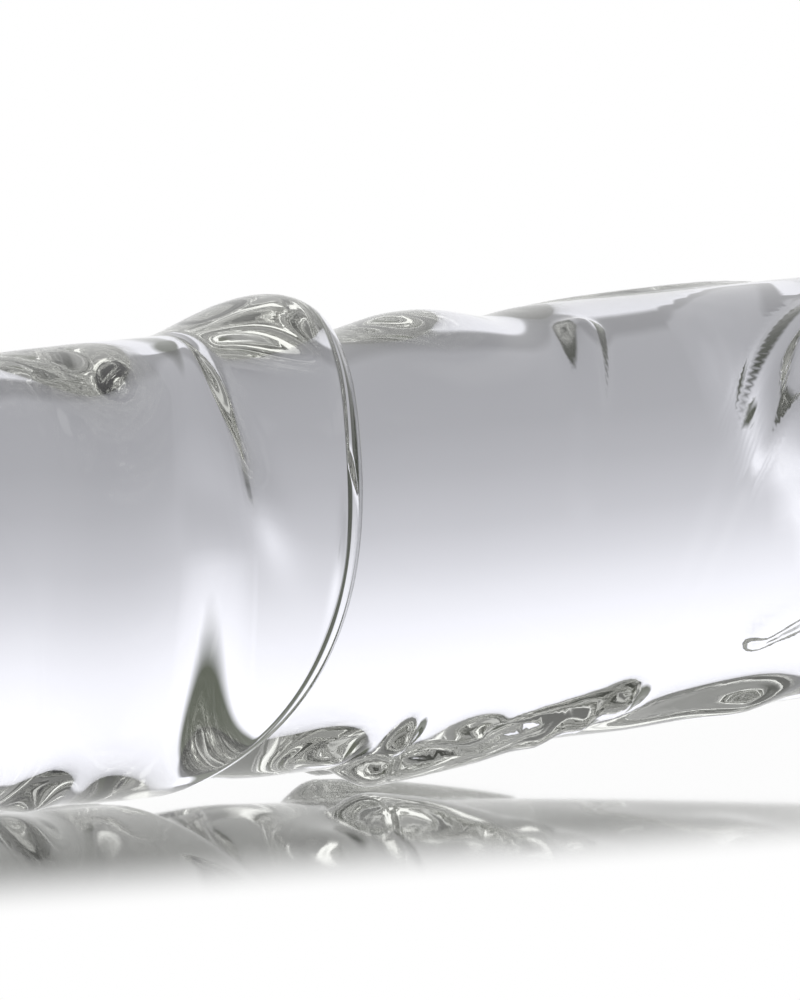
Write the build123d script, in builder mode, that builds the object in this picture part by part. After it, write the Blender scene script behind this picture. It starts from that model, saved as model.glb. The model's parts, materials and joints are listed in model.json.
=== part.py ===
from build123d import *

import os
from math import atan, cos, hypot, pi, radians, sin, tan

# Glass dip pen, shaped by hand from clear glass, with a push-fit glass nib. Millimetres.
#
# The pen lies along X on the plane Z = 0, its nib towards -X, and the origin is on that plane below the
# middle of its length. The holder is solid glass, fused hot from a grip, a barrel, a collar rolled over the
# joint between them, threads of glass laid on the barrel, and a bead that closes the tail. The nib is a
# separate piece: its shank pushes into a silicone sleeve, which pushes into the grip's socket.

# Lengths along the pen
MOUTH_X = -56.0  # where the nib enters the grip
SWELL_X = -22.5  # where the grip is full
COLLAR_X = -19.8  # where the collar's lip crosses the pen's axis
BEND_X = -16.5  # behind this, the axis leaves the straight line of the nib and grip
RISE_X = -4.0  # where the axis climbs most steeply
TAIL_X = 80.4  # centre of the tail bead

# The axis: height above the table, and slope
BEND_Z = 6.45
GRIP_SLOPE = 0.045
RISE_SLOPE = 0.075
TAIL_SLOPE = -0.16
BEAD_R = 3.6

# Grip, sleeve and nib
EDGE = 0.3  # bevels
GRIP_R = 6.0
MOUTH_R = 4.5
MOUTH_LIP = 0.5
LAND_LENGTH = 6.0  # the cylindrical stretch behind the mouth
SOCKET_R = 3.0
SOCKET_DEPTH = 14.0
SLEEVE_GAP = 0.03
SLEEVE_END_GAP = 0.6  # between the sleeve's inner end and the full-width end of the socket
SHANK_R = 2.0
FLANGE_R = 3.8
FLANGE_LENGTH = 1.0
NIB_LENGTH = 28.0  # from the mouth to the tip
NIB_R = 3.5
NECK_R = 2.6
TIP_R = 0.35
FLUTE_START = 2.4  # from the mouth to where the flutes swell out of the shank
BELLY = 7.0  # from the mouth to the thickest place
FLUTES = 10
FLUTE_ROOT = 1.0  # how far the shank runs on inside the flutes
VALLEY = 0.82  # a valley's radius, as a share of a crest's
NIB_TWIST = 150.0  # degrees that the flutes turn from neck to tip
NIB_STATIONS = 9

# Collar and barrel
COLLAR_TOP = 0.98  # how far the collar swells out at its top
COLLAR_SKIN = 0.02
COLLAR_TILT = 20.5  # degrees between the lip's plane and the barrel's cross-section
# distance before the lip, share of the full height, share of the full tilt
COLLAR_SECTIONS = [
    (7.0, 0.0, 0.55), (5.8, 0.1, 0.75), (4.6, 0.5, 0.9), (3.2, 0.93, 1.0), (1.7, 0.97, 1.0),
    (0.6, 0.72, 1.0), (0.0, 0.25, 1.0),
]
JOINT_OFFSET = 1.2  # the grip and barrel meet this far inside the lip
BARREL_R = 5.95
TAIL_R = 2.5
TAPER_X = -12.0  # where the barrel starts to taper
WAIST_X = 77.6  # where the barrel meets the tail bead
BARREL_STATIONS = [-26.0, -20.0, BEND_X, -10.0, RISE_X, 8.0, 22.0, 36.0, 50.0, 64.0, WAIST_X]

# Threads: a rod sunk into the barrel, standing proud by the second figure
THREAD = (0.9, 0.4)
FOOT_THREAD = (1.2, 0.73)
DIP = 1.6  # how deep a thread's two ends dip, as a multiple of the rod's radius
BEND_SHARE = 0.45  # of the shorter leg, taken by each bend of a thread


def rise(x):
    """Height of the pen's axis at x, and its slope."""
    bend_span = RISE_X - BEND_X
    if x <= BEND_X:
        return BEND_Z + GRIP_SLOPE * (x - BEND_X), GRIP_SLOPE
    if x <= RISE_X:
        step = x - BEND_X
        curve = (RISE_SLOPE - GRIP_SLOPE) / bend_span
        return BEND_Z + GRIP_SLOPE * step + curve * step**2 / 2, GRIP_SLOPE + curve * step
    start_z = BEND_Z + bend_span * (GRIP_SLOPE + RISE_SLOPE) / 2
    span = TAIL_X - RISE_X
    t = (x - RISE_X) / span
    z = (
        start_z * (2 * t**3 - 3 * t**2 + 1)
        + span * RISE_SLOPE * (t**3 - 2 * t**2 + t)
        + BEAD_R * (3 * t**2 - 2 * t**3)
        + span * TAIL_SLOPE * (t**3 - t**2)
    )
    slope = (
        (start_z - BEAD_R) * (6 * t**2 - 6 * t) / span
        + RISE_SLOPE * (3 * t**2 - 4 * t + 1)
        + TAIL_SLOPE * (3 * t**2 - 2 * t)
    )
    return z, slope


def barrel_radius(x):
    """Full behind the collar, then a long taper to the tail."""
    t = max(0.0, x - TAPER_X) / (WAIST_X - TAPER_X)
    return BARREL_R - (BARREL_R - TAIL_R) * t**1.6


def grip_radius(x):
    """From the land behind the mouth, swelling to the grip's full radius."""
    land_end = MOUTH_X + MOUTH_LIP + LAND_LENGTH
    t = min(1.0, (x - land_end) / (SWELL_X - land_end))
    return MOUTH_R + (GRIP_R - MOUTH_R) * t**2 * (3 - 2 * t)


def cross_section(x, tilt=0.0):
    """Plane across the pen's axis at x. A positive tilt leans its top towards the tail."""
    z, slope = rise(x)
    lean = atan(slope) - radians(tilt)
    return Plane(origin=(x, 0, z), x_dir=(0, 1, 0), z_dir=(cos(lean), 0, sin(lean)))


def on_barrel(x, angle, depth):
    """Point of the barrel at x, angle degrees from its top towards the writer, depth below its surface."""
    z, slope = rise(x)
    lean = atan(slope)
    reach = barrel_radius(x) - depth
    across, up = reach * sin(radians(angle)), reach * cos(radians(angle))
    return Vector(x - up * sin(lean), -across, z + up * cos(lean))


# The nib and grip share one straight axis. In this plane, X runs along it towards the tail from the mouth.
mouth_z, _ = rise(MOUTH_X)
axis_dir = Vector(1, 0, GRIP_SLOPE).normalized()
front = Plane(origin=(MOUTH_X, 0, mouth_z), x_dir=axis_dir, z_dir=(0, -1, 0))
front_axis = Axis(front.origin, axis_dir)
to_tail = abs(COLLAR_X - MOUTH_X) * hypot(1, GRIP_SLOPE)
joint = cross_section(COLLAR_X - JOINT_OFFSET, COLLAR_TILT)


def make_nib():
    """A shank, a neck, and a bud of twisted flutes that draws down to the point."""
    shank_end = SOCKET_DEPTH - 1.0
    root = -FLUTE_START - FLUTE_ROOT
    with BuildPart() as nib:
        with BuildSketch(front):
            with BuildLine():
                Polyline(
                    (shank_end, 0),
                    (shank_end, SHANK_R - EDGE),
                    (shank_end - EDGE, SHANK_R),
                    (root, SHANK_R),
                    (root, 0),
                    close=True,
                )
            make_face()
        revolve(axis=front_axis)
        for i in range(NIB_STATIONS):
            share = i / (NIB_STATIONS - 1)
            along = FLUTE_START + (NIB_LENGTH - FLUTE_START) * share
            origin = front.from_local_coords((-along, 0, 0))
            with BuildSketch(Plane(origin=origin, x_dir=(0, 1, 0), z_dir=-axis_dir)):
                with BuildLine():
                    flutes(nib_radius(along), NIB_TWIST * share)
                make_face()
        loft()
    return nib


def nib_radius(along):
    """Radius over the flutes' crests: a quick swell from the neck, then a long draw to the tip."""
    if along < BELLY:
        t = (along - FLUTE_START) / (BELLY - FLUTE_START)
        return NECK_R + (NIB_R - NECK_R) * sin(t * pi / 2)
    t = (along - BELLY) / (NIB_LENGTH - BELLY)
    return NIB_R - (NIB_R - TIP_R) * t**1.35


def flutes(crest_r, turn):
    """A ring of round crests with sharp valleys between them."""
    valley_r = crest_r * VALLEY
    step = 360 / FLUTES

    def at(radius, angle):
        return (radius * cos(radians(angle)), radius * sin(radians(angle)))

    for i in range(FLUTES):
        start = turn + i * step
        ThreePointArc(at(valley_r, start), at(crest_r, start + step / 2), at(valley_r, start + step))


def make_nib_sleeve():
    """Silicone bush between the nib's shank and the socket, with a flange outside the mouth."""
    inner, outer = SHANK_R + SLEEVE_GAP, SOCKET_R - SLEEVE_GAP
    end = SOCKET_DEPTH - SLEEVE_END_GAP
    with BuildPart() as sleeve:
        with BuildSketch(front):
            with BuildLine():
                Polyline(
                    (-FLANGE_LENGTH, inner),
                    (end, inner),
                    (end, outer - EDGE),
                    (end - EDGE, outer),
                    (-SLEEVE_GAP, outer),
                    (-SLEEVE_GAP, FLANGE_R),
                    (-FLANGE_LENGTH + EDGE, FLANGE_R),
                    (-FLANGE_LENGTH, FLANGE_R - EDGE),
                    close=True,
                )
            make_face()
        revolve(axis=front_axis)
    return sleeve


def make_grip():
    """Solid glass from the mouth to the joint, with a blind socket for the nib's sleeve."""
    swell = SWELL_X - MOUTH_X
    past_joint = to_tail + GRIP_R
    land_end = MOUTH_LIP + LAND_LENGTH
    with BuildPart() as grip:
        with BuildSketch(front):
            with BuildLine():
                Line((0, SOCKET_R), (0, MOUTH_R - MOUTH_LIP))
                TangentArc((0, MOUTH_R - MOUTH_LIP), (MOUTH_LIP, MOUTH_R), tangent=(0, 1))
                Line((MOUTH_LIP, MOUTH_R), (land_end, MOUTH_R))
                Spline((land_end, MOUTH_R), (swell, GRIP_R), tangents=((1, 0), (1, 0)))
                Polyline(
                    (swell, GRIP_R),
                    (past_joint, GRIP_R),
                    (past_joint, 0),
                    (SOCKET_DEPTH + 1.0, 0),
                    (SOCKET_DEPTH, SOCKET_R),
                    (0, SOCKET_R),
                )
            make_face()
        revolve(axis=front_axis)
        split(bisect_by=joint, keep=Keep.BOTTOM)
    return grip


def make_barrel():
    """Solid glass from the joint to the tail bead, round in section, along the bowed axis."""
    with BuildPart() as barrel:
        for x in BARREL_STATIONS:
            with BuildSketch(cross_section(x)):
                Circle(barrel_radius(x))
        loft()
        split(bisect_by=joint, keep=Keep.TOP)
    return barrel


def make_collar(grip, barrel):
    """A gather rolled round the joint: it swells out of the grip and ends in an oblique lip over the barrel.

    It is eccentric: full at the top, and a thin skin below, where the pen lies.
    """
    with BuildPart() as collar:
        for before, height, tilt in COLLAR_SECTIONS:
            lean = COLLAR_TILT * tilt
            rest = COLLAR_TOP * height / 2
            reach = grip_radius(COLLAR_X - before) + COLLAR_SKIN + rest
            centre_y = rest / cos(radians(lean))
            with BuildSketch(cross_section(COLLAR_X - before, lean)):
                with Locations((0, centre_y)):
                    Ellipse(reach, reach / cos(radians(lean)))
        loft()
        add(grip.part, mode=Mode.SUBTRACT)
        add(barrel.part, mode=Mode.SUBTRACT)
    return collar


def make_tail_bead(barrel):
    """A bead that closes the tail, and on which the pen's tail rests."""
    with BuildPart() as bead:
        with Locations((TAIL_X, 0, BEAD_R)):
            Sphere(BEAD_R)
        add(barrel.part, mode=Mode.SUBTRACT)
    return bead


def make_thread(points, rod_r, proud):
    """A glass rod laid through (x, angle) points of the barrel, sunk into it, its two ends dipping under."""
    depths = [DIP * rod_r] + [rod_r - proud] * (len(points) - 2) + [DIP * rod_r]
    route = [on_barrel(x, angle, depth) for (x, angle), depth in zip(points, depths)]
    radii = []
    for before, here, after in zip(route, route[1:], route[2:]):
        turn = radians((here - before).get_angle(after - here))
        radii.append(BEND_SHARE * min((here - before).length, (after - here).length) / tan(turn / 2))
    with BuildPart() as thread:
        with BuildLine() as path:
            FilletPolyline(*route, radius=radii)
        with BuildSketch(Plane(origin=route[0], z_dir=route[1] - route[0])):
            Circle(rod_r)
        sweep(path=path.line)
    return thread


# Each thread's route: x, and degrees from the barrel's top, positive towards the writer
FOOT_THREADS = {
    "thread_foot_near": [
        (-18.6, 158), (-17.3, 163), (-16.0, 163), (-14.4, 158), (-12.6, 149), (-11.6, 141),
    ],
    "thread_foot_far": [
        (-18.2, -158), (-16.9, -164), (-15.2, -164), (-12.8, -158), (-9.8, -150), (-7.8, -144),
    ],
}
THREADS = {
    "thread_near_diagonal": [
        (-10.2, 128), (-9.4, 110), (-8.2, 87), (-6.6, 66), (-4.6, 46), (-2.0, 30), (0.6, 24),
    ],
    "thread_near_branch": [
        (-7.6, 127), (-6.2, 120), (-4.0, 111), (-0.4, 103), (4.2, 101), (9.5, 108), (13.5, 120),
    ],
    "thread_near_drop": [(-9.4, 12), (-10.2, 30), (-11.2, 51), (-12.3, 72), (-12.9, 90)],
    "thread_top": [
        (-10.6, -36), (-9.4, -24), (-7.6, -13), (-4.6, -10), (-1.8, -18), (1.0, -34), (3.6, -52),
    ],
    "thread_far_loop": [(-13.4, -66), (-11.2, -59), (-8.2, -58), (-5.0, -67), (-1.4, -87), (2.5, -102)],
    "thread_back_long": [(6, 70), (11, 53), (17, 41), (24, 44), (31, 62), (38, 84), (44, 98)],
    "thread_back_far": [(12, -100), (18, -85), (25, -78), (33, -90), (41, -111), (47, -126)],
}

grip = make_grip()
barrel = make_barrel()
collar = make_collar(grip, barrel)

threads = {name: make_thread(points, *FOOT_THREAD) for name, points in FOOT_THREADS.items()}
threads |= {name: make_thread(points, *THREAD) for name, points in THREADS.items()}

with BuildPart() as grooved_barrel:
    add(barrel.part)
    for thread in threads.values():
        add(thread.part, mode=Mode.SUBTRACT)

pieces = {
    "nib": make_nib(),
    "nib_sleeve": make_nib_sleeve(),
    "grip": grip,
    "collar": collar,
    "barrel": grooved_barrel,
    "tail_bead": make_tail_bead(grooved_barrel),
    **threads,
}

os.makedirs("parts", exist_ok=True)
whole = []
for name, piece in pieces.items():
    piece.part.label = name
    export_step(piece.part, f"parts/{name}.step")
    whole.append(piece.part)
    print(name, len(piece.part.solids()), round(piece.part.volume, 1))
print(Compound(children=whole).bounding_box())
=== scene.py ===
import json
import math

import bpy
import numpy as np
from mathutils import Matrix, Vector


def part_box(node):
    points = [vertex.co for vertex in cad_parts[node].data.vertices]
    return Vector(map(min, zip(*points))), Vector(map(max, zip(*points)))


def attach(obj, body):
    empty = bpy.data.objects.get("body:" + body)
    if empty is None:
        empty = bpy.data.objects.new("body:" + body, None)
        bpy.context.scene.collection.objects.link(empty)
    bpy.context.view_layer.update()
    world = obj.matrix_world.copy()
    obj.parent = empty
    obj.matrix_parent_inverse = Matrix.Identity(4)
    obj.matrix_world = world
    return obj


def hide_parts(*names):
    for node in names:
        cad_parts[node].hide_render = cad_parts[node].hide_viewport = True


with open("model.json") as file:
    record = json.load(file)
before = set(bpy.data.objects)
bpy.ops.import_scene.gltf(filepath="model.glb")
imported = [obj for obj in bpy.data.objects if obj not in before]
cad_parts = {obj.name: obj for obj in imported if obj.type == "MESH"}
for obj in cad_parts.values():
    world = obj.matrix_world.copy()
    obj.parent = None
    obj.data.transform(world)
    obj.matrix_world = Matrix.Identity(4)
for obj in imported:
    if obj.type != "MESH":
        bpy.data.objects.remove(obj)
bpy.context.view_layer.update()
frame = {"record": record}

# Glass dip pen. Lengths here are millimetres, and each mesh is turned into metres as it is made. The pen
# lies along X on the plane Z = 0, its nib towards -X. Angles round the pen are measured from its top
# towards -Y, which is the side that faces the camera.
MM = 0.001


# ---------------------------------------------------------------- the pen's axis, from the frame

def node_box(node):
    """Lowest and highest corners of a CAD node, in millimetres."""
    low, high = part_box(node)
    return np.array(low) / MM, np.array(high) / MM


bead_low, bead_high = node_box("tail_bead")

BEND_X = -16.5  # behind this, the axis leaves the straight line of the nib and grip
BEND_Z = 6.45
RISE_X = -4.0  # where the axis climbs most steeply
GRIP_SLOPE = 0.045
RISE_SLOPE = 0.075
TAIL_SLOPE = -0.16
BEAD_R = (bead_high[2] - bead_low[2]) / 2
TAIL_X = bead_high[0] - BEAD_R


def axis_at(x):
    """Height and slope of the pen's axis at each x: a line, a parabola, then a cubic down to the bead."""
    x = np.asarray(x, float)
    bend_span = RISE_X - BEND_X
    curve = (RISE_SLOPE - GRIP_SLOPE) / bend_span
    step = np.clip(x - BEND_X, 0, bend_span)
    z = BEND_Z + GRIP_SLOPE * np.minimum(x - BEND_X, bend_span) + curve * step**2 / 2
    slope = GRIP_SLOPE + curve * step
    start_z = BEND_Z + bend_span * (GRIP_SLOPE + RISE_SLOPE) / 2
    span = TAIL_X - RISE_X
    t = np.maximum(x - RISE_X, 0) / span
    far_z = (
        start_z * (2 * t**3 - 3 * t**2 + 1)
        + span * RISE_SLOPE * (t**3 - 2 * t**2 + t)
        + BEAD_R * (3 * t**2 - 2 * t**3)
        + span * TAIL_SLOPE * (t**3 - t**2)
    )
    far_slope = (
        (start_z - BEAD_R) * (6 * t**2 - 6 * t) / span
        + RISE_SLOPE * (3 * t**2 - 4 * t + 1)
        + TAIL_SLOPE * (3 * t**2 - 2 * t)
    )
    behind = x > RISE_X
    return np.where(behind, far_z, z), np.where(behind, far_slope, slope)


def round_axis(x, angle, radius):
    """Points at a radius from the pen's axis at x, angle (radians) round it."""
    z, slope = axis_at(x)
    lean = np.arctan(slope)
    across, up = radius * np.sin(angle), radius * np.cos(angle)
    return np.stack([x - up * np.sin(lean), -across, z + up * np.cos(lean)], axis=-1)


def smooth(t):
    """0 to 1, level at both ends."""
    t = np.clip(t, 0, 1)
    return t * t * (3 - 2 * t)


def between(degrees, start, rise, end, fall):
    """1 between two angles and 0 outside them, rising and falling softly inside."""
    return smooth((degrees - start) / rise) * smooth((end - degrees) / fall)


def within_half_turn(turn):
    """The same angle, between minus and plus half a turn."""
    return (turn + math.pi) % (2 * math.pi) - math.pi


# ---------------------------------------------------------------- the holder's sizes

MOUTH_X = -56.0
MOUTH_R = 4.5
MOUTH_ROUND = 0.5  # radius of the mouth's outer edge
SOCKET_R = 3.0
SOCKET_DEPTH = 14.0
SOCKET_DOME = 0.9  # how far the socket's closed end bulges
SOCKET_ROUND = 0.2  # radius of the socket's edge
GRIP_R = 5.96
LAND = 6.5  # from the mouth to where the grip starts to swell
SWELL = 33.5  # and to where it is full

LIP_X = -19.8
LIP_TILT = math.tan(math.radians(20.5))
LIP_NEAR_SHIFT = 0.12  # how much further forward the lip runs on the side that faces the camera
LIP_FAR_X, LIP_FAR_TILT, LIP_FAR_WAVE = -18.785, 2.67, 1.585  # and its curve on the far side
LIP_LIFT = 0.4  # how much further back it runs at its very top
COLLAR_TOP, COLLAR_BOTTOM = 0.9, 0.08  # how far the collar stands proud at its top and bottom
COLLAR_RISE, COLLAR_RISE_TOP = 6.0, 3.6  # the length over which it rises, all round and at its top
COLLAR_CREST = 1.0  # from where it is full to the lip
ROLL_SIDE, ROLL_TOP = 2.2, 1.1  # largest radius of the lip's rolled edge
CURL = math.radians(88)  # how far round the rolled edge goes, where it isn't melted
MELTED_NOSE = 2.15  # length of the slope that replaces the rolled edge, where it is melted
MELTED_SHIFT = 0.25  # how much further back the lip lies there
CREASE = 0.5  # depth of the crease behind the lip
CREASE_LENGTH = 3.4

BARREL_R = 5.95
TAIL_R = 2.5
TAPER_X = -12.0
WAIST_X = 77.6

# The mesh's rows lean more and more towards the tilt of the lip, then straighten again behind it
LEAN_START = 11.0  # they start to lean this far before the lip
LEAN_HOLD, LEAN_FADE, LEAN_END = 1.0, 15.5, 17.0  # and behind it keep the lean, lose it, and are square
TUCK_FADE = 0.6  # how far behind the lip its rolled edge still shifts them

# Threads: how far each stands proud at its start and end, then its route: x, and degrees from the barrel's
# top, positive towards the camera's side
FOOT_ROD, ROD = 1.2, 0.9
FOOT_THREADS = [
    (0.7, 0.2, [
        (-18.6, 158), (-17.3, 163), (-16.0, 163), (-14.4, 158), (-12.6, 149), (-10.6, 141), (-8.4, 130),
    ]),
    (0.7, 0.6, [(-18.2, -158), (-16.9, -164), (-15.2, -164), (-12.8, -158), (-9.8, -150), (-7.8, -144)]),
]
THREADS = [
    (0.1, 0.5, [(-10.2, 128), (-9.4, 110), (-8.2, 87), (-6.6, 66), (-4.6, 46), (-2.0, 30), (0.6, 24)]),
    (0.25, 0.4, [(-7.6, 127), (-6.2, 120), (-4.0, 111), (-0.4, 103), (4.2, 101), (9.5, 108), (13.5, 120)]),
    (0.3, 0.08, [(-9.4, 12), (-10.2, 30), (-11.2, 51), (-12.3, 72), (-12.9, 90)]),
    (0.12, 0.3, [(-10.6, -38), (-9.4, -24), (-7.6, -13), (-4.6, -10), (-1.8, -18), (1.0, -34), (3.6, -52)]),
    (0.2, 0.4, [(-13.4, -66), (-11.2, -59), (-8.2, -58), (-5.0, -67), (-1.4, -87), (2.5, -102)]),
    (0.4, 0.3, [(6, 70), (11, 53), (17, 41), (24, 44), (31, 62), (38, 84), (44, 98)]),
    (0.4, 0.3, [(12, -100), (18, -85), (25, -78), (33, -90), (41, -111), (47, -126)]),
]
THREAD_FILLET = 0.1
THREAD_END_DEPTH = 0.35  # a thread's ends sink this far below the surface
THREAD_END_LENGTH = 1.6  # over this many radii of its rod

# Shallow dents and swellings that the tools left in the hot glass: x and degrees of the middle, height, and
# how far it reaches along the pen (mm) and round it (degrees)
MARKS = [
    (-13.6, 0, 0.16, 1.5, 50), (-11.3, 0, -0.22, 1.1, 40), (-8.0, 70, -0.06, 2.5, 40),
    (2.0, 20, 0.08, 4.0, 60), (12.0, -60, 0.1, 5.0, 60), (24.0, 90, -0.08, 6.0, 70),
    (38.0, 0, 0.07, 7.0, 60), (55.0, 150, 0.06, 6.0, 80), (-27.3, 160, 0.22, 0.7, 14),
    (-16.8, 265.5, 0.12, 0.45, 3.2), (-6.5, 150, 0.3, 2.6, 10), (-9.0, 158, 0.12, 1.6, 9),
    (-5.5, 152, 0.16, 1.2, 9), (-1.5, 157, 0.14, 2.4, 9), (-18.7, 149, 0.3, 0.9, 8),
    (-16.9, 146, 0.35, 0.35, 9), (-14.4, 147, 0.3, 0.9, 7), (-12.4, 152, 0.14, 0.5, 6),
    (-11.3, 146, 0.16, 0.4, 5), (-10.2, 140, 0.15, 0.4, 6),
]


# ---------------------------------------------------------------- the holder's glass skin

def barrel_radius(x):
    t = np.clip((x - TAPER_X) / (WAIST_X - TAPER_X), 0, 1)
    return BARREL_R - (BARREL_R - TAIL_R) * t**1.6


def grip_radius(x):
    t = np.clip((x - MOUTH_X - LAND) / (SWELL - LAND), 0, 1)
    return MOUTH_R + (GRIP_R - MOUTH_R) * smooth(t)


def soft_route(points, rounds=4):
    """The route with its corners cut again and again, so that it runs smoothly."""
    route = np.array(points, float)
    for _ in range(rounds):
        near = route[:-1] * 0.75 + route[1:] * 0.25
        far = route[:-1] * 0.25 + route[1:] * 0.75
        route = np.vstack([route[:1], np.stack([near, far], axis=1).reshape(-1, 2), route[-1:]])
    return route


def thread_height(x, angle, rod_r, proud_start, proud_end, points):
    """How far one thread lifts the barrel's surface at each (x, angle)."""
    route = soft_route(points)
    route_x, route_turn = route[:, 0], np.radians(route[:, 1])
    radius = barrel_radius(route_x)
    steps_x, steps_turn = np.diff(route_x), np.diff(route_turn)
    lengths = np.hypot(steps_x, steps_turn * radius[:-1])
    walked = np.concatenate([[0], np.cumsum(lengths)])
    # the nearest place on the route, for the points that it can reach
    in_reach = (x > route_x.min() - 2 * rod_r) & (x < route_x.max() + 2 * rod_r)
    reach_x, reach_angle = x[in_reach], angle[in_reach]
    distance, progress = np.full(reach_x.shape, np.inf), np.zeros(reach_x.shape)
    for i, length in enumerate(lengths):
        gap_x = reach_x - route_x[i]
        gap_round = within_half_turn(reach_angle - route_turn[i]) * radius[i]
        step_x, step_round = steps_x[i], steps_turn[i] * radius[i]
        share = np.clip((gap_x * step_x + gap_round * step_round) / (length**2), 0, 1)
        step_distance = np.hypot(gap_x - share * step_x, gap_round - share * step_round)
        closer = step_distance < distance
        distance = np.where(closer, step_distance, distance)
        progress = np.where(closer, walked[i] + share * length, progress)
    # the rod, sunk in the surface and further at its ends, with a fillet at its foot
    proud = proud_start + (proud_end - proud_start) * smooth(progress / walked[-1])
    from_end = np.minimum(progress, walked[-1] - progress)
    ending = 1 - smooth(from_end / (THREAD_END_LENGTH * rod_r))
    sunk = rod_r - proud + ending * (proud + THREAD_END_DEPTH)
    rod = np.sqrt(np.maximum(rod_r**2 - distance**2, 0)) - sunk
    filleted = (rod + np.sqrt(rod**2 + THREAD_FILLET**2)) / 2
    height = np.zeros(x.shape)
    height[in_reach] = filleted * np.exp(-np.maximum(distance / rod_r - 1.1, 0) ** 2 * 9)
    return height


def all_threads(x, angle):
    height = np.zeros(x.shape)
    for rod_r, group in ((FOOT_ROD, FOOT_THREADS), (ROD, THREADS)):
        for thread in group:
            height = np.maximum(height, thread_height(x, angle, rod_r, *thread))
    return height


def hand_worked(x, angle):
    """How far the tools' marks lift or sink the surface at each (x, angle)."""
    height = np.zeros(np.broadcast(x, angle).shape)
    for mark_x, mark_angle, lift, long, wide in MARKS:
        turn = within_half_turn(angle - math.radians(mark_angle))
        height += lift * np.exp(-(((x - mark_x) / long) ** 2) - (turn / math.radians(wide)) ** 2)
    return height


def lip_place(angle):
    """Where the collar's lip lies along the pen: a skewed, wavy ring."""
    below = ((1 - np.cos(angle)) / 2) ** 9
    wave = np.sin(angle) ** 2 * (0.35 - 0.75 * np.cos(angle))
    near = LIP_X + LIP_TILT * np.cos(angle) * BARREL_R - LIP_NEAR_SHIFT + wave - below
    far = LIP_FAR_X + LIP_FAR_TILT * np.cos(angle) - LIP_FAR_WAVE * np.cos(2 * angle) - 0.5 * below
    return np.where(np.sin(angle) >= 0, near, far) + LIP_LIFT * np.maximum(np.cos(angle), 0) ** 6


def column_angles():
    """Columns all round, closer together at the far side, which the glass in front of it magnifies."""
    near_side = np.linspace(-70, 250, 150, endpoint=False)
    far_side = np.linspace(250, 290, 56, endpoint=False)
    return np.radians(np.concatenate([near_side, far_side]))


def mouth_rings(angle):
    """The socket from its closed end outwards, then over the rounded mouth."""
    bore_end = MOUTH_X + SOCKET_DEPTH
    profile = [(bore_end + SOCKET_DOME * (1 - t**2), SOCKET_R * t) for t in np.linspace(0.03, 1, 12)]
    profile += [(x, SOCKET_R) for x in np.linspace(bore_end, MOUTH_X + SOCKET_ROUND, 16)[1:]]
    for a in np.linspace(0, math.pi / 2, 6)[1:]:
        x = MOUTH_X + SOCKET_ROUND * (1 - math.sin(a))
        profile.append((x, SOCKET_R + SOCKET_ROUND * (1 - math.cos(a))))
    for a in np.linspace(0, math.pi / 2, 10):
        x = MOUTH_X + MOUTH_ROUND * (1 - math.cos(a))
        profile.append((x, MOUTH_R - MOUTH_ROUND * (1 - math.sin(a))))
    return [round_axis(np.full(len(angle), x), angle, radius) for x, radius in profile]


def grip_rings(angle):
    """The grip and the collar, to the end of the lip's rolled edge, and what the barrel goes on from: the
    lip's place, the depth of the crease, and how far from the lip the last ring lies."""
    top_share = (1 + np.cos(angle)) / 2
    degrees = np.degrees(angle) % 360
    proud = COLLAR_BOTTOM + (COLLAR_TOP - COLLAR_BOTTOM) * top_share**0.5
    crease = CREASE * (0.8 + 0.2 * top_share) * (1 - 0.85 * smooth((-np.sin(angle) - 0.1) / 0.5))
    # on the far side the lip melts into the barrel
    edge = lip_place(angle)
    lip = edge + MELTED_SHIFT * between(degrees, 190, 60, 266, 5)
    melted = between(degrees, 190, 30, 275.2, 2.4)
    # the rolled edge takes up what it can of the drop from the collar to the crease, and a wall the rest
    drop_all = proud + crease
    limit = ROLL_SIDE + (ROLL_TOP - ROLL_SIDE) * smooth((top_share - 0.55) / 0.35)
    roll = drop_all / (1 + (drop_all / limit) ** 4) ** 0.25
    beside = smooth((np.sin(angle) - 0.2) / 0.5)
    nose = roll * (1 + 0.3 * beside) * (1 - melted) + MELTED_NOSE * melted
    rise = COLLAR_RISE + (COLLAR_RISE_TOP - COLLAR_RISE) * top_share**4

    def collar_height(place):
        risen = proud * (1 - smooth((edge - COLLAR_CREST - place) / rise))
        return grip_radius(place) + hand_worked(place, angle) + risen

    lean_x = LIP_X - LEAN_START
    square = np.linspace(MOUTH_X + MOUTH_ROUND, lean_x, 40)[1:]
    rings = [round_axis(np.full(len(angle), x), angle, grip_radius(x)) for x in square]
    for t in np.linspace(0, 1, 90)[1:]:
        place = lean_x + (lip - nose - lean_x) * t
        rings.append(round_axis(place, angle, collar_height(place)))
    for t in np.linspace(0, 1, 36)[1:]:
        rolled = lip - nose * (1 - math.sin(CURL * t))
        eased = lip - nose * (1 - t)
        place = rolled + (eased - rolled) * melted
        wall = (drop_all - roll * (1 - math.cos(CURL))) * smooth((t - 0.8) / 0.2)
        drop = (roll * (1 - math.cos(CURL * t)) + wall) * (1 - melted) + drop_all * smooth(t) * melted
        rings.append(round_axis(place, angle, collar_height(place) - drop))
    return rings, lip, crease, place - lip


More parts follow.
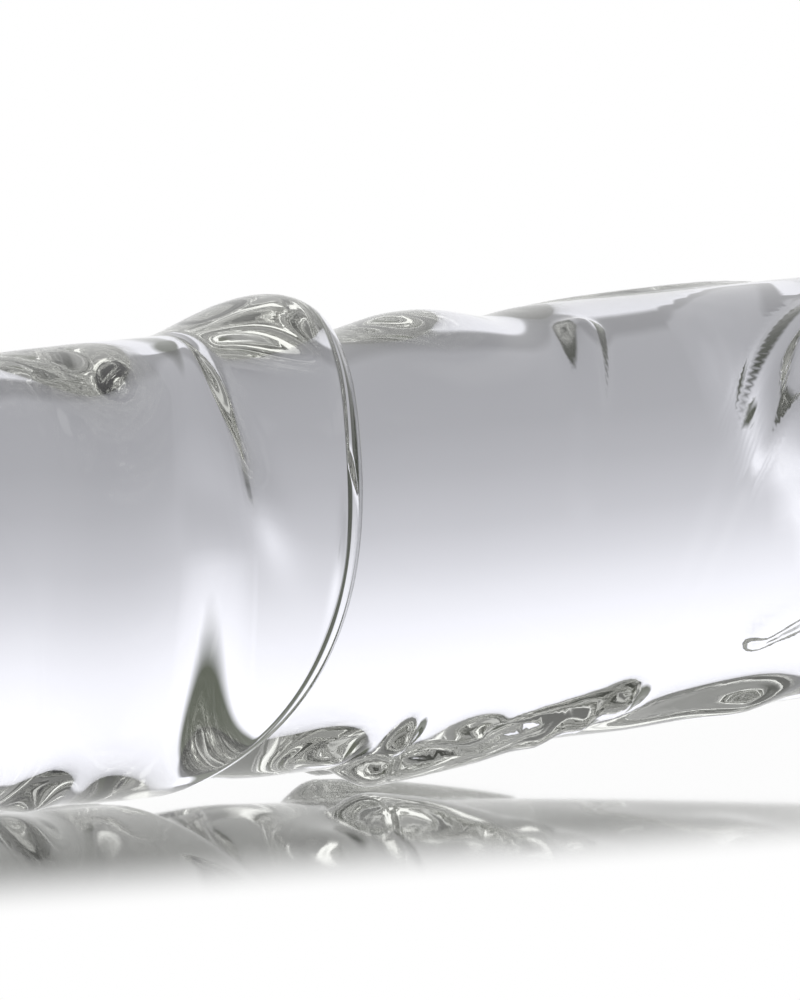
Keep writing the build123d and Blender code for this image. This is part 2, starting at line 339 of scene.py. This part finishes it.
def barrel_rings(angle, lip, crease, tucked):
    """The crease behind the lip, then the barrel, whose rows straighten again."""
    after = LEAN_END * np.linspace(0, 1, 120)[1:, None] ** 1.25
    lean = 1 - smooth((after - LEAN_HOLD) / LEAN_FADE)
    leaning = LIP_X + after + lean * (lip - LIP_X) + tucked * (1 - smooth(after / TUCK_FADE))
    square = np.linspace(LIP_X + LEAN_END, WAIST_X, 115)[1:]
    place = np.vstack([leaning, np.repeat(square[:, None], len(angle), axis=1)])
    sunk = np.zeros(place.shape)
    sunk[:len(after)] = crease * (1 - smooth(after / CREASE_LENGTH) ** 0.75)
    turn = np.broadcast_to(angle, place.shape)
    radius = barrel_radius(place) + hand_worked(place, turn) - sunk + all_threads(place, turn)
    return list(round_axis(place, turn, radius))


def bead_rings(angle):
    """The tail bead, from where it meets the barrel to its end."""
    meet = math.asin(TAIL_R / BEAD_R)
    rings = []
    for a in np.linspace(math.pi - meet, 0.03, 40)[1:]:
        radius = BEAD_R * math.sin(a)
        x = np.full(len(angle), TAIL_X + BEAD_R * math.cos(a))
        rings.append(np.stack([x, -radius * np.sin(angle), BEAD_R + radius * np.cos(angle)], axis=-1))
    return rings


def holder_points():
    """One skin over the whole holder, from the socket's closed end to the end of the tail bead."""
    angle = column_angles()
    grip, lip, crease, tucked = grip_rings(angle)
    barrel = barrel_rings(angle, lip, crease, tucked)
    return np.array(mouth_rings(angle) + grip + barrel + bead_rings(angle))


# ---------------------------------------------------------------- the nib and its sleeve

SHANK_R = 2.0
SHANK_BEVEL = 0.3
SHANK_END = -13.0  # this and the lengths below are from the mouth, positive towards the tip
SHOULDER_START, FLUTE_START, BELLY, NIB_LENGTH = 1.7, 2.4, 7.0, 28.0
SHOULDER, FLUTE_RISE, FLUTE_FADE = 1.3, 3.0, 1.6  # lengths over which they come, and the flutes end
NECK_R, NIB_R, TIP_R = 2.6, 3.5, 0.35
TIP_ROUND = 0.5  # length of the rounded point
FLUTES = 10
VALLEY = 0.82  # a valley's radius, as a share of a crest's
NIB_TWIST = math.radians(150)
SLEEVE_END, FLANGE_LENGTH = -13.4, 1.0
SLEEVE_INNER, SLEEVE_OUTER, FLANGE_R = 2.03, 2.97, 3.8
FLANGE_GAP = 0.03  # between the flange and the mouth
RIB_STARTS = (-12.0, -8.6, -5.2)
GROOVE_DEPTH = 0.12  # of the grooves between the sleeve's sealing ribs


def round_nib_axis(along, angle, radius):
    """Points at a radius from the nib's straight axis, as far along it from the mouth as given."""
    z, slope = axis_at(MOUTH_X)
    lean = math.atan(slope)
    across, up = radius * np.sin(angle), radius * np.cos(angle)
    x = MOUTH_X - along * math.cos(lean) - up * math.sin(lean)
    return np.stack([x, -across, z - along * math.sin(lean) + up * math.cos(lean)], axis=-1)


def crest_radius(along):
    """Radius over the crests: a quick swell from the neck, then a long draw to the tip."""
    swell = np.clip((along - FLUTE_START) / (BELLY - FLUTE_START), 0, 1)
    draw = np.clip((along - BELLY) / (NIB_LENGTH - BELLY), 0, 1)
    return NECK_R + (NIB_R - NECK_R) * np.sin(swell * math.pi / 2) - (NIB_R - TIP_R) * draw**1.35


def nib_rows():
    """How far along the nib its rows lie: a bevelled shank, the bud, and closer rows over the point."""
    bevel = SHANK_END + SHANK_BEVEL * (1 - np.cos(np.linspace(0, math.pi / 2, 7)))
    shank = np.linspace(SHANK_END + 1, SHOULDER_START, 18)
    bud = SHOULDER_START + (NIB_LENGTH - SHOULDER_START) * np.linspace(0, 1, 170)[1:] ** 1.1
    bud = bud[bud < NIB_LENGTH - TIP_ROUND - 0.05]
    point = NIB_LENGTH - TIP_ROUND * (1 - np.sin(np.linspace(0, 1.45, 12)))
    return np.concatenate([bevel, shank, bud, point])[:, None]


def nib_points():
    """A shank, a soft shoulder, and a bud of twisted flutes that run together at a rounded point."""
    columns_per_flute = 22
    flute_turn = np.arange(FLUTES * columns_per_flute) / columns_per_flute
    crest_shape = 1 - (2 * (flute_turn % 1) - 1) ** 2
    along = nib_rows()
    ended = np.clip((along - NIB_LENGTH + TIP_ROUND) / TIP_ROUND, 0, 1)
    crest = crest_radius(along) * np.sqrt(1 - ended**2)
    ending = smooth((along - NIB_LENGTH + FLUTE_FADE) / FLUTE_FADE)
    fluted = smooth((along - SHOULDER_START) / FLUTE_RISE) * (1 - ending)
    bud = crest * (1 - fluted * (1 - VALLEY) * (1 - crest_shape))
    cut_back = np.maximum(SHANK_END + SHANK_BEVEL - along, 0)
    shank = SHANK_R - SHANK_BEVEL + np.sqrt(np.maximum(SHANK_BEVEL**2 - cut_back**2, 0))
    radius = shank + (bud - shank) * smooth((along - SHOULDER_START) / SHOULDER)
    turn = NIB_TWIST * np.clip((along - FLUTE_START) / (NIB_LENGTH - FLUTE_START), 0, 1)
    angle = -math.pi / 2 - turn - flute_turn * 2 * math.pi / FLUTES
    return round_nib_axis(np.broadcast_to(along, radius.shape), angle, radius)


def softened(corners, soft=0.16, steps=5):
    """A closed outline with its corners rounded."""
    outline = []
    for before, corner, after in zip(np.roll(corners, 1, axis=0), corners, np.roll(corners, -1, axis=0)):
        start = corner + (before - corner) * soft / np.linalg.norm(before - corner)
        end = corner + (after - corner) * soft / np.linalg.norm(after - corner)
        for t in np.linspace(0, 1, steps):
            outline.append(start * (1 - t) ** 2 + corner * 2 * t * (1 - t) + end * t**2)
    return np.array(outline)


def sleeve_points():
    """A silicone bush: a thin tube with sealing ribs, and a flange that rests on the mouth."""
    groove = ((0, 0), (0.5, GROOVE_DEPTH), (1.4, GROOVE_DEPTH), (1.9, 0))
    grooves = [(start + step, SLEEVE_OUTER - depth) for start in RIB_STARTS for step, depth in groove]
    outline = softened(np.array([
        (FLANGE_LENGTH, SLEEVE_INNER), (SLEEVE_END, SLEEVE_INNER), (SLEEVE_END, SLEEVE_OUTER), *grooves,
        (FLANGE_GAP, SLEEVE_OUTER), (FLANGE_GAP, FLANGE_R), (FLANGE_LENGTH, FLANGE_R),
    ]))
    angle = -np.linspace(0, 2 * math.pi, 96, endpoint=False)
    along, radius = np.broadcast_arrays(outline[:, :1], angle)[0], outline[:, 1:]
    return round_nib_axis(along, angle, radius)


# ---------------------------------------------------------------- meshes

def mesh_object(name, points, faces):
    """A smooth-shaded object from points in millimetres."""
    mesh = bpy.data.meshes.new(name)
    mesh.from_pydata((points * MM).tolist(), [], faces)
    mesh.validate()
    mesh.shade_smooth()
    obj = bpy.data.objects.new(name, mesh)
    bpy.context.scene.collection.objects.link(obj)
    return obj


def closed_tube(name, rings):
    """A mesh through the rings, each end closed by a fan to its middle point."""
    count, columns, _ = rings.shape
    points = np.vstack([rings.reshape(-1, 3), rings[0].mean(axis=0), rings[-1].mean(axis=0)])
    index = np.arange(count * columns).reshape(count, columns)
    turned = np.roll(index, -1, axis=1)
    quads = np.stack([index[:-1], turned[:-1], turned[1:], index[1:]], axis=-1).reshape(-1, 4)
    first, last = count * columns, count * columns + 1
    fans = [(first, int(b), int(a)) for a, b in zip(index[0], turned[0])]
    fans += [(last, int(a), int(b)) for a, b in zip(index[-1], turned[-1])]
    return mesh_object(name, points, quads.tolist() + fans)


def closed_ring(name, rings):
    """A mesh through the rings, the last joined to the first."""
    count, columns, _ = rings.shape
    index = np.arange(count * columns).reshape(count, columns)
    turned, onward = np.roll(index, -1, axis=1), np.roll(index, -1, axis=0)
    quads = np.stack([index, turned, np.roll(turned, -1, axis=0), onward], axis=-1).reshape(-1, 4)
    return mesh_object(name, rings.reshape(-1, 3), quads.tolist())


# ---------------------------------------------------------------- nodes

def new_node(tree, kind, inputs, **settings):
    """A node with its settings, then its inputs by name or number: each a value, or the socket to link."""
    node = tree.nodes.new(kind)
    for name, value in settings.items():
        setattr(node, name, value)
    for name, value in inputs.items():
        if isinstance(value, bpy.types.NodeSocket):
            tree.links.new(value, node.inputs[name])
        else:
            node.inputs[name].default_value = value
    return node


def coordinates(tree, space):
    """Where the shaded point is in a space, or for the world, the direction of the light."""
    return tree.nodes.new("ShaderNodeTexCoord").outputs[space]


def ranged(tree, value, low, high, new_low, new_high, interpolation="LINEAR"):
    """The value's range from low to high, spread from new_low to new_high."""
    inputs = {"Value": value, "From Min": low, "From Max": high, "To Min": new_low, "To Max": new_high}
    return new_node(tree, "ShaderNodeMapRange", inputs, interpolation_type=interpolation).outputs["Result"]


def mixed(tree, factor, a, b, blend="MIX"):
    """Two colours mixed."""
    inputs = {"Factor": factor, "A": a, "B": b}
    return new_node(tree, "ShaderNodeMix", inputs, data_type="RGBA", blend_type=blend).outputs["Result"]


def mixed_shaders(tree, factor, a, b):
    return new_node(tree, "ShaderNodeMixShader", {"Fac": factor, 1: a, 2: b}).outputs["Shader"]


# ---------------------------------------------------------------- materials

def principled(name):
    material = bpy.data.materials.new(name)
    material.use_nodes = True
    tree = material.node_tree
    return material, tree, tree.nodes["Principled BSDF"]


def noise(tree, fineness, detail):
    """Noise through the object's own space, finer along each axis as its number grows."""
    stretched = {"Vector": coordinates(tree, "Object"), "Scale": fineness}
    mapping = new_node(tree, "ShaderNodeMapping", stretched)
    texture = {"Vector": mapping.outputs["Vector"], "Scale": 1.0, "Detail": detail}
    return new_node(tree, "ShaderNodeTexNoise", texture).outputs["Fac"]


def bump(tree, shader, height, strength, distance):
    inputs = {"Strength": strength, "Distance": distance, "Height": height}
    node = new_node(tree, "ShaderNodeBump", inputs)
    tree.links.new(node.outputs["Normal"], shader.inputs["Normal"])


def clear_glass():
    """Clear glass with a trace of absorption, faint drawn cords and slight wear in its polish."""
    material, tree, shader = principled("clear_glass")
    shader.inputs["Transmission Weight"].default_value = 1.0
    shader.inputs["IOR"].default_value = 1.47
    shader.inputs["Base Color"].default_value = (1, 1, 1, 1)
    absorb = new_node(tree, "ShaderNodeVolumeAbsorption", {"Color": (0.9, 0.9, 0.87, 1), "Density": 9.0})
    tree.links.new(absorb.outputs["Volume"], tree.nodes["Material Output"].inputs["Volume"])
    bump(tree, shader, noise(tree, (60, 260, 260), 2.0), 0.25, 0.01 * MM)
    wear = ranged(tree, noise(tree, (900, 900, 900), 3.0), 0.62, 0.8, 0.0, 0.03)
    tree.links.new(wear, shader.inputs["Roughness"])
    return material


def clear_silicone():
    """Satin, milky silicone with a fine grain."""
    material, tree, shader = principled("clear_silicone")
    shader.inputs["Transmission Weight"].default_value = 0.6
    shader.inputs["IOR"].default_value = 1.41
    shader.inputs["Base Color"].default_value = (0.97, 0.98, 0.98, 1)
    bump(tree, shader, noise(tree, (6000, 6000, 6000), 4.0), 0.4, 0.01 * MM)
    satin = ranged(tree, noise(tree, (500, 500, 500), 2.0), 0.3, 0.7, 0.34, 0.5)
    tree.links.new(satin, shader.inputs["Roughness"])
    return material


# ---------------------------------------------------------------- stage: world, floor, camera

LOOK_AT = (-14.48, 0, 7.56)
CAMERA_AZIMUTH, CAMERA_ELEVATION = math.radians(-33), math.radians(4.2)
CAMERA_DISTANCE = 170
CAMERA_LENS = 226.5
FLOOR_HALF, FLOOR_DROP = 20000, 0.02  # half its side, and how far below the pen it lies
GLOSS_ALONG, GLOSS_ACROSS = 140, 22  # the floor's reflection fades towards the edge of this oval

WHITE = (1, 1, 1)
GAP = (0.08, 0.09, 0.06)  # a dark gap between the studio's white screens, as a share of what it hides
THROUGH_GREY = (0.972, 0.978, 1.055)
INSIDE_GREY = (1.0, 1.01, 0.97)

# Elevation in degrees, and how bright the studio is there: through the glass, and after a turn inside it
THROUGH = [
    (-90, 0.87), (-48.5, 0.87), (-47, 0.24), (-42, 0.26), (-39, 0.38), (-30, 0.39), (-22, 0.41),
    (-14, 0.475), (-5, 0.6), (1, 0.74), (6, 0.88), (11, 0.99), (16, 1.06), (20, 1.1), (26, 1.15),
    (46.5, 1.15), (48.5, 0.15), (90, 0.1),
]
INSIDE = [
    (-90, 1.1), (-44, 1.1), (-40, 0.2), (-32, 0.2), (-28, 0.6), (-18, 0.5), (-13, 0.14), (0, 0.12),
    (20, 0.16), (45, 0.25), (60, 0.3), (90, 0.3),
]
# How far a direction leans along the pen, from -1 to 1, and the screens and gaps there
SCREENS = [
    (-1, WHITE), (-0.86, WHITE), (-0.84, GAP), (-0.8, GAP), (-0.78, WHITE), (-0.42, WHITE), (-0.38, GAP),
    (-0.2, GAP), (-0.15, WHITE), (0.1, WHITE), (0.14, GAP), (0.33, GAP), (0.38, WHITE), (0.79, WHITE),
    (0.83, GAP), (0.94, GAP), (0.97, WHITE),
]


def direction_ramp(tree, axis, stops):
    """A colour that depends on how far a direction leans along one axis, from -1 to 1."""
    split = new_node(tree, "ShaderNodeSeparateXYZ", {"Vector": coordinates(tree, "Generated")})
    unit = ranged(tree, split.outputs[axis], -1, 1, 0, 1)
    ramp = new_node(tree, "ShaderNodeValToRGB", {"Fac": unit})
    elements = ramp.color_ramp.elements
    elements.remove(elements[1])
    elements[0].position = (stops[0][0] + 1) / 2
    elements[0].color = (*stops[0][1], 1)
    for lean, colour in stops[1:]:
        elements.new((lean + 1) / 2).color = (*colour, 1)
    return ramp.outputs["Color"]


def by_height(tree, stops, grey):
    """The studio's brightness by elevation, in one shade of grey."""
    leans = [(math.sin(math.radians(e)), tuple(bright * c for c in grey)) for e, bright in stops]
    return direction_ramp(tree, "Z", leans)


def make_world():
    """A white studio. What the glass bends is graded from below to above, between tall dark gaps."""
    world = bpy.data.worlds.new("studio")
    world.use_nodes = True
    bpy.context.scene.world = world
    tree = world.node_tree
    path = tree.nodes.new("ShaderNodeLightPath")
    through = by_height(tree, THROUGH, THROUGH_GREY)
    inside = by_height(tree, INSIDE, INSIDE_GREY)
    graded = mixed(tree, path.outputs["Glossy Depth"], through, inside)
    seen = mixed(tree, 1, graded, direction_ramp(tree, "X", SCREENS), "MULTIPLY")
    colour = mixed(tree, path.outputs["Transmission Depth"], (*WHITE, 1), seen)
    tree.links.new(colour, tree.nodes["Background"].inputs["Color"])


def make_camera():
    look = Vector(LOOK_AT) * MM
    back = Vector((
        math.sin(CAMERA_AZIMUTH) * math.cos(CAMERA_ELEVATION),
        -math.cos(CAMERA_AZIMUTH) * math.cos(CAMERA_ELEVATION),
        math.sin(CAMERA_ELEVATION),
    ))
    data = bpy.data.cameras.new("camera")
    data.lens = CAMERA_LENS
    data.clip_start = 5 * MM
    camera = bpy.data.objects.new("camera", data)
    camera.location = look + back * (CAMERA_DISTANCE * MM)
    camera.rotation_mode = "QUATERNION"
    camera.rotation_quaternion = (-back).to_track_quat("-Z", "Y")
    bpy.context.scene.collection.objects.link(camera)
    bpy.context.scene.camera = camera


def floor_material():
    """White and polished. It mirrors the pen most where it is seen at a low angle, and only near the pen,
    where the mirror's colour is a touch darker: a painted contact shadow.
    """
    material = bpy.data.materials.new("floor")
    material.use_nodes = True
    tree = material.node_tree
    tree.nodes.clear()
    oval = (1 / (GLOSS_ALONG * MM), 1 / (GLOSS_ACROSS * MM), 1)
    stretch = new_node(tree, "ShaderNodeMapping", {"Vector": coordinates(tree, "Object"), "Scale": oval})
    length = new_node(tree, "ShaderNodeVectorMath", {0: stretch.outputs["Vector"]}, operation="LENGTH")
    from_pen = length.outputs["Value"]
    # painted contact shadow: the mirror's colour is a touch darker near the pen and white further out
    shade = new_node(tree, "ShaderNodeValToRGB", {"Fac": from_pen})
    shade.color_ramp.interpolation = "EASE"
    shade.color_ramp.elements[0].position = 0.15
    shade.color_ramp.elements[0].color = (0.98, 0.98, 0.98, 1)
    mirror = {"Color": shade.outputs["Color"], "Roughness": 0.05}
    gloss = new_node(tree, "ShaderNodeBsdfGlossy", mirror, distribution="MULTI_GGX").outputs["BSDF"]
    low_angle = ranged(tree, tree.nodes.new("ShaderNodeLayerWeight").outputs["Facing"], 0.3, 0.87, 0, 0.98)
    near_pen = ranged(tree, from_pen, 0.45, 0.85, 1, 0, "SMOOTHSTEP")
    polish = new_node(tree, "ShaderNodeMath", {0: low_angle, 1: near_pen}, operation="MULTIPLY")
    white = tree.nodes.new("ShaderNodeEmission").outputs["Emission"]
    surface = mixed_shaders(tree, polish.outputs["Value"], white, gloss)
    # the glass looks straight through the floor, at the studio below
    clear = tree.nodes.new("ShaderNodeBsdfTransparent").outputs["BSDF"]
    path = tree.nodes.new("ShaderNodeLightPath")
    chosen = mixed_shaders(tree, path.outputs["Is Camera Ray"], clear, surface)
    new_node(tree, "ShaderNodeOutputMaterial", {"Surface": chosen})
    return material


def make_floor():
    """A wide floor, just below what the pen stands on."""
    half, z = FLOOR_HALF * MM, -FLOOR_DROP * MM
    corners = [(-half, -half, z), (half, -half, z), (half, half, z), (-half, half, z)]
    mesh = bpy.data.meshes.new("floor")
    mesh.from_pydata(corners, [], [(0, 1, 2, 3)])
    mesh.materials.append(floor_material())
    floor = bpy.data.objects.new("floor", mesh)
    bpy.context.scene.collection.objects.link(floor)


# ---------------------------------------------------------------- build

make_camera()
make_world()
make_floor()

glass = clear_glass()
holder = closed_tube("holder_glass", holder_points())
holder.data.materials.append(glass)
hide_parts(*frame["record"]["behaviour"]["bodies"]["holder"])
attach(holder, "holder")

nib = closed_tube("nib_glass", nib_points())
nib.data.materials.append(glass)
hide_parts("nib")
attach(nib, "nib")

sleeve = closed_ring("sleeve_silicone", sleeve_points())
sleeve.data.materials.append(clear_silicone())
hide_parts("nib_sleeve")
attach(sleeve, "sleeve")

scene = bpy.context.scene
scene.view_settings.view_transform = "Standard"
scene.cycles.transmission_bounces = 32
scene.cycles.max_bounces = 48
scene.cycles.glossy_bounces = 32
scene.cycles.transparent_max_bounces = 24
